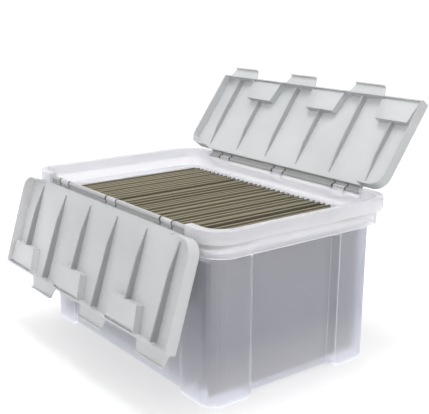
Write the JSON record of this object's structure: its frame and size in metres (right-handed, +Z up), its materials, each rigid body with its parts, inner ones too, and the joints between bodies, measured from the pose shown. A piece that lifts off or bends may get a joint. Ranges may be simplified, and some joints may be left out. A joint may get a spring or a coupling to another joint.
{
  "type": "portable file box",
  "caption": "Frosted plastic file box with two hinged lids that interlock in the middle, recessed walls, and hanging folders on its built-in rails",
  "frame": {"origin": "Middle of the footprint, on the surface that the feet stand on", "axes": "+X along the hinges, +Y from the front lid to the back lid, +Z up"},
  "size_m": [0.544, 0.5239, 0.4341],
  "materials": {
    "frosted_tub": "frosted translucent polypropylene",
    "lid": "satin translucent polypropylene",
    "steel": "drawn wire",
    "folder_card": "matte card stock, olive",
    "folder_steel": "satin coat"
  },
  "bodies": {
    "box": {"tub": "frosted_tub", "front_hinge_rod": "steel", "back_hinge_rod": "steel"},
    "front_lid": {"front_lid": "lid"},
    "back_lid": {"back_lid": "lid"},
    "hanging_01": {"folder_01": "folder_card", "folder_rods_01": "folder_steel"},
    "hanging_02": {"folder_02": "folder_card", "folder_rods_02": "folder_steel"},
    "hanging_03": {"folder_03": "folder_card", "folder_rods_03": "folder_steel"},
    "hanging_04": {"folder_04": "folder_card", "folder_rods_04": "folder_steel"},
    "hanging_05": {"folder_05": "folder_card", "folder_rods_05": "folder_steel"},
    "hanging_06": {"folder_06": "folder_card", "folder_rods_06": "folder_steel"},
    "hanging_07": {"folder_07": "folder_card", "folder_rods_07": "folder_steel"},
    "hanging_08": {"folder_08": "folder_card", "folder_rods_08": "folder_steel"},
    "hanging_09": {"folder_09": "folder_card", "folder_rods_09": "folder_steel"},
    "hanging_10": {"folder_10": "folder_card", "folder_rods_10": "folder_steel"},
    "hanging_11": {"folder_11": "folder_card", "folder_rods_11": "folder_steel"},
    "hanging_12": {"folder_12": "folder_card", "folder_rods_12": "folder_steel"},
    "hanging_13": {"folder_13": "folder_card", "folder_rods_13": "folder_steel"},
    "hanging_14": {"folder_14": "folder_card", "folder_rods_14": "folder_steel"},
    "hanging_15": {"folder_15": "folder_card", "folder_rods_15": "folder_steel"},
    "hanging_16": {"folder_16": "folder_card", "folder_rods_16": "folder_steel"},
    "hanging_17": {"folder_17": "folder_card", "folder_rods_17": "folder_steel"},
    "hanging_18": {"folder_18": "folder_card", "folder_rods_18": "folder_steel"}
  },
  "joints": [
    {"name": "front_lid_hinge", "type": "hinge", "parent": "box", "child": "front_lid", "pos_m": [0, -0.1742, 0.2684], "axis": [1, 0, 0], "range_deg": [-253, 3]},
    {"name": "back_lid_hinge", "type": "hinge", "parent": "box", "child": "back_lid", "pos_m": [0, 0.1742, 0.2684], "axis": [-1, 0, 0], "range_deg": [-126, 130]},
    {"name": "folder_01_slide", "type": "slide", "parent": "box", "child": "hanging_01", "axis": [1, 0, 0], "range_m": [-0.0005, 0.0045]},
    {"name": "folder_02_slide", "type": "slide", "parent": "box", "child": "hanging_02", "axis": [1, 0, 0], "range_m": [-0.0045, 0.0045]},
    {"name": "folder_03_slide", "type": "slide", "parent": "box", "child": "hanging_03", "axis": [1, 0, 0], "range_m": [-0.0045, 0.0045]},
    {"name": "folder_04_slide", "type": "slide", "parent": "box", "child": "hanging_04", "axis": [1, 0, 0], "range_m": [-0.0045, 0.0045]},
    {"name": "folder_05_slide", "type": "slide", "parent": "box", "child": "hanging_05", "axis": [1, 0, 0], "range_m": [-0.0045, 0.0045]},
    {"name": "folder_06_slide", "type": "slide", "parent": "box", "child": "hanging_06", "axis": [1, 0, 0], "range_m": [-0.0045, 0.0045]},
    {"name": "folder_07_slide", "type": "slide", "parent": "box", "child": "hanging_07", "axis": [1, 0, 0], "range_m": [-0.0045, 0.0045]},
    {"name": "folder_08_slide", "type": "slide", "parent": "box", "child": "hanging_08", "axis": [1, 0, 0], "range_m": [-0.0045, 0.0045]},
    {"name": "folder_09_slide", "type": "slide", "parent": "box", "child": "hanging_09", "axis": [1, 0, 0], "range_m": [-0.0045, 0.0045]},
    {"name": "folder_10_slide", "type": "slide", "parent": "box", "child": "hanging_10", "axis": [1, 0, 0], "range_m": [-0.0045, 0.0045]},
    {"name": "folder_11_slide", "type": "slide", "parent": "box", "child": "hanging_11", "axis": [1, 0, 0], "range_m": [-0.0045, 0.0045]},
    {"name": "folder_12_slide", "type": "slide", "parent": "box", "child": "hanging_12", "axis": [1, 0, 0], "range_m": [-0.0045, 0.0045]},
    {"name": "folder_13_slide", "type": "slide", "parent": "box", "child": "hanging_13", "axis": [1, 0, 0], "range_m": [-0.0045, 0.0045]},
    {"name": "folder_14_slide", "type": "slide", "parent": "box", "child": "hanging_14", "axis": [1, 0, 0], "range_m": [-0.0045, 0.0045]},
    {"name": "folder_15_slide", "type": "slide", "parent": "box", "child": "hanging_15", "axis": [1, 0, 0], "range_m": [-0.0045, 0.0045]},
    {"name": "folder_16_slide", "type": "slide", "parent": "box", "child": "hanging_16", "axis": [1, 0, 0], "range_m": [-0.0045, 0.0045]},
    {"name": "folder_17_slide", "type": "slide", "parent": "box", "child": "hanging_17", "axis": [1, 0, 0], "range_m": [-0.0045, 0.0045]},
    {"name": "folder_18_slide", "type": "slide", "parent": "box", "child": "hanging_18", "axis": [1, 0, 0], "range_m": [-0.0045, 0.0005]}
  ]
}
